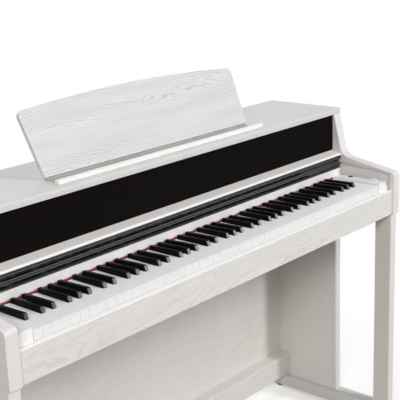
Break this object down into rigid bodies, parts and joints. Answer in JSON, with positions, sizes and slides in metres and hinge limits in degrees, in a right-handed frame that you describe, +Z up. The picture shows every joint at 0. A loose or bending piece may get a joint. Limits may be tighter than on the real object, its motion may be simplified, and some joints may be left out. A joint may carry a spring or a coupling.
{
  "type": "digital piano on stand",
  "caption": "Console digital piano in white ash-grain laminate: full keyboard, sliding key cover, folding music rest, leg frames and pedal unit.",
  "frame": {"origin": "on the floor, under the middle of the overall box", "axes": "+Z up, +Y from the player to the back, +X along the keyboard from bass to treble"},
  "size_m": [1.38, 0.4396, 1.0869],
  "materials": {
    "white_laminate": "white ash-grain laminate, satin",
    "white_back_board": "plain pale board",
    "white_keys": "fine-textured satin",
    "black_keys": "satin black",
    "black_cloth": "tight black weave",
    "dark_board": "dark stained board",
    "red_felt": "red felt",
    "dark_rail": "black with a soft gloss",
    "dark_plastic": "matt black",
    "white_plastic": "satin white",
    "steel_sheet": "zinc grey",
    "steel": "plain steel",
    "white_metal": "white powder coat",
    "circuit_board": "green board",
    "soft_rubber": "grey silicone",
    "speaker_black": "matt black",
    "brass": "polished"
  },
  "bodies": {
    "cabinet": {"back_panel": "white_back_board", "back_screws": "steel", "contact_strip": "soft_rubber", "end_block_left": "white_plastic", "end_block_right": "white_plastic", "fascia_board": "dark_board", "fascia_shelf": "white_laminate", "feet": "white_laminate", "foot_glides": "dark_plastic", "front_leg_left": "white_laminate", "front_leg_right": "white_laminate", "grille_cloth": "black_cloth", "jack_panel": "dark_plastic", "key_bed": "white_laminate", "key_felt": "red_felt", "key_frame": "steel_sheet", "key_pivot_rod": "steel", "key_slip": "white_laminate", "main_board": "circuit_board", "modesty_panel": "white_laminate", "music_rest_hinge_bases": "white_metal", "music_rest_ledge": "white_laminate", "pedal_beam": "white_laminate", "pedal_box": "white_laminate", "pedal_rod": "steel", "power_supply": "circuit_board", "rear_key_strip": "white_plastic", "sensor_board": "circuit_board", "side_board_left": "white_laminate", "side_board_right": "white_laminate", "side_panel_left": "white_laminate", "side_panel_right": "white_laminate", "stay_track": "white_metal", "top_lid": "white_laminate", "tweeters": "speaker_black", "woofers": "speaker_black"},
    "keys_c": {"keys_c": "white_keys"},
    "keys_d": {"keys_d": "white_keys"},
    "keys_e": {"keys_e": "white_keys"},
    "keys_f": {"keys_f": "white_keys"},
    "keys_g": {"keys_g": "white_keys"},
    "keys_a": {"keys_a": "white_keys"},
    "keys_b": {"keys_b": "white_keys"},
    "keys_c_sharp": {"keys_c_sharp": "black_keys"},
    "keys_d_sharp": {"keys_d_sharp": "black_keys"},
    "keys_f_sharp": {"keys_f_sharp": "black_keys"},
    "keys_g_sharp": {"keys_g_sharp": "black_keys"},
    "keys_a_sharp": {"keys_a_sharp": "black_keys"},
    "key_cover": {"key_cover_board": "white_laminate", "key_cover_rail": "dark_rail", "key_cover_runners": "dark_plastic"},
    "music_rest": {"music_rest_panel": "white_laminate", "music_rest_hinge_leaves": "white_metal", "stay_lugs": "white_metal"},
    "rest_stay": {"music_rest_stay": "white_metal"},
    "pedal_soft": {"pedal_soft": "brass"},
    "pedal_sostenuto": {"pedal_sostenuto": "brass"},
    "pedal_sustain": {"pedal_sustain": "brass"},
    "power_button": {"power_button": "dark_plastic"},
    "volume_knob": {"volume_knob": "white_plastic"}
  },
  "joints": [
    {"name": "key_c_press", "type": "hinge", "parent": "cabinet", "child": "keys_c", "pos_m": [0, 0.03025, 0.722], "axis": [1, 0, 0], "range_deg": [0, 2.49], "stiffness_Nm_per_rad": 10.54, "springref_deg": -9.96},
    {"name": "key_d_press", "type": "hinge", "parent": "cabinet", "child": "keys_d", "pos_m": [0, 0.03025, 0.722], "axis": [1, 0, 0], "range_deg": [0, 2.49], "stiffness_Nm_per_rad": 9.28, "springref_deg": -9.96},
    {"name": "key_e_press", "type": "hinge", "parent": "cabinet", "child": "keys_e", "pos_m": [0, 0.03025, 0.722], "axis": [1, 0, 0], "range_deg": [0, 2.49], "stiffness_Nm_per_rad": 9.02, "springref_deg": -9.96},
    {"name": "key_f_press", "type": "hinge", "parent": "cabinet", "child": "keys_f", "pos_m": [0, 0.03025, 0.722], "axis": [1, 0, 0], "range_deg": [0, 2.49], "stiffness_Nm_per_rad": 8.82, "springref_deg": -9.96},
    {"name": "key_g_press", "type": "hinge", "parent": "cabinet", "child": "keys_g", "pos_m": [0, 0.03025, 0.722], "axis": [1, 0, 0], "range_deg": [0, 2.49], "stiffness_Nm_per_rad": 9.02, "springref_deg": -9.95},
    {"name": "key_a_press", "type": "hinge", "parent": "cabinet", "child": "keys_a", "pos_m": [0, 0.03025, 0.722], "axis": [1, 0, 0], "range_deg": [0, 2.49], "stiffness_Nm_per_rad": 10.47, "springref_deg": -9.96},
    {"name": "key_b_press", "type": "hinge", "parent": "cabinet", "child": "keys_b", "pos_m": [0, 0.03025, 0.722], "axis": [1, 0, 0], "range_deg": [0, 2.49], "stiffness_Nm_per_rad": 10.09, "springref_deg": -9.96},
    {"name": "key_c_sharp_press", "type": "hinge", "parent": "cabinet", "child": "keys_c_sharp", "pos_m": [0, 0.03025, 0.722], "axis": [1, 0, 0], "range_deg": [0, 3], "stiffness_Nm_per_rad": 5.78, "springref_deg": -12.01},
    {"name": "key_d_sharp_press", "type": "hinge", "parent": "cabinet", "child": "keys_d_sharp", "pos_m": [0, 0.03025, 0.722], "axis": [1, 0, 0], "range_deg": [0, 3], "stiffness_Nm_per_rad": 5.78, "springref_deg": -12.01},
    {"name": "key_f_sharp_press", "type": "hinge", "parent": "cabinet", "child": "keys_f_sharp", "pos_m": [0, 0.03025, 0.722], "axis": [1, 0, 0], "range_deg": [0, 3], "stiffness_Nm_per_rad": 5.78, "springref_deg": -12.01},
    {"name": "key_g_sharp_press", "type": "hinge", "parent": "cabinet", "child": "keys_g_sharp", "pos_m": [0, 0.03025, 0.722], "axis": [1, 0, 0], "range_deg": [0, 3], "stiffness_Nm_per_rad": 5.78, "springref_deg": -12.01},
    {"name": "key_a_sharp_press", "type": "hinge", "parent": "cabinet", "child": "keys_a_sharp", "pos_m": [0, 0.03025, 0.722], "axis": [1, 0, 0], "range_deg": [0, 3], "stiffness_Nm_per_rad": 6.61, "springref_deg": -12},
    {"name": "cover_close", "type": "hinge", "parent": "cabinet", "child": "key_cover", "pos_m": [0, -0.02525, -0.5308], "axis": [1, 0, 0], "range_deg": [0, 7.2]},
    {"name": "music_rest_fold", "type": "hinge", "parent": "cabinet", "child": "music_rest", "pos_m": [0, 0.06387, 0.93002], "axis": [1, 0, 0], "range_deg": [-66, 0]},
    {"name": "stay_swing", "type": "hinge", "parent": "music_rest", "child": "rest_stay", "pos_m": [0, 0.09397, 0.99762], "axis": [1, 0, 0], "range_deg": [0, 132]},
    {"name": "pedal_soft_press", "type": "hinge", "parent": "cabinet", "child": "pedal_soft", "pos_m": [0, 0.10475, 0.052], "axis": [1, 0, 0], "range_deg": [0, 4.42], "stiffness_Nm_per_rad": 10, "springref_deg": -14.9},
    {"name": "pedal_sostenuto_press", "type": "hinge", "parent": "cabinet", "child": "pedal_sostenuto", "pos_m": [0, 0.10475, 0.052], "axis": [1, 0, 0], "range_deg": [0, 4.42], "stiffness_Nm_per_rad": 10, "springref_deg": -14.9},
    {"name": "pedal_sustain_press", "type": "hinge", "parent": "cabinet", "child": "pedal_sustain", "pos_m": [0, 0.10475, 0.052], "axis": [1, 0, 0], "range_deg": [0, 4.42], "stiffness_Nm_per_rad": 10, "springref_deg": -14.9},
    {"name": "power_press", "type": "slide", "parent": "cabinet", "child": "power_button", "axis": [0, 0, -1], "range_m": [0, 0.002], "stiffness_N_per_m": 800, "springref_m": -0.002},
    {"name": "volume_slide", "type": "slide", "parent": "cabinet", "child": "volume_knob", "axis": [0, 1, 0], "range_m": [0, 0.04]}
  ],
  "couplings": [
    {"joint": "stay_swing", "follows": "music_rest_fold", "ratio": -2}
  ]
}
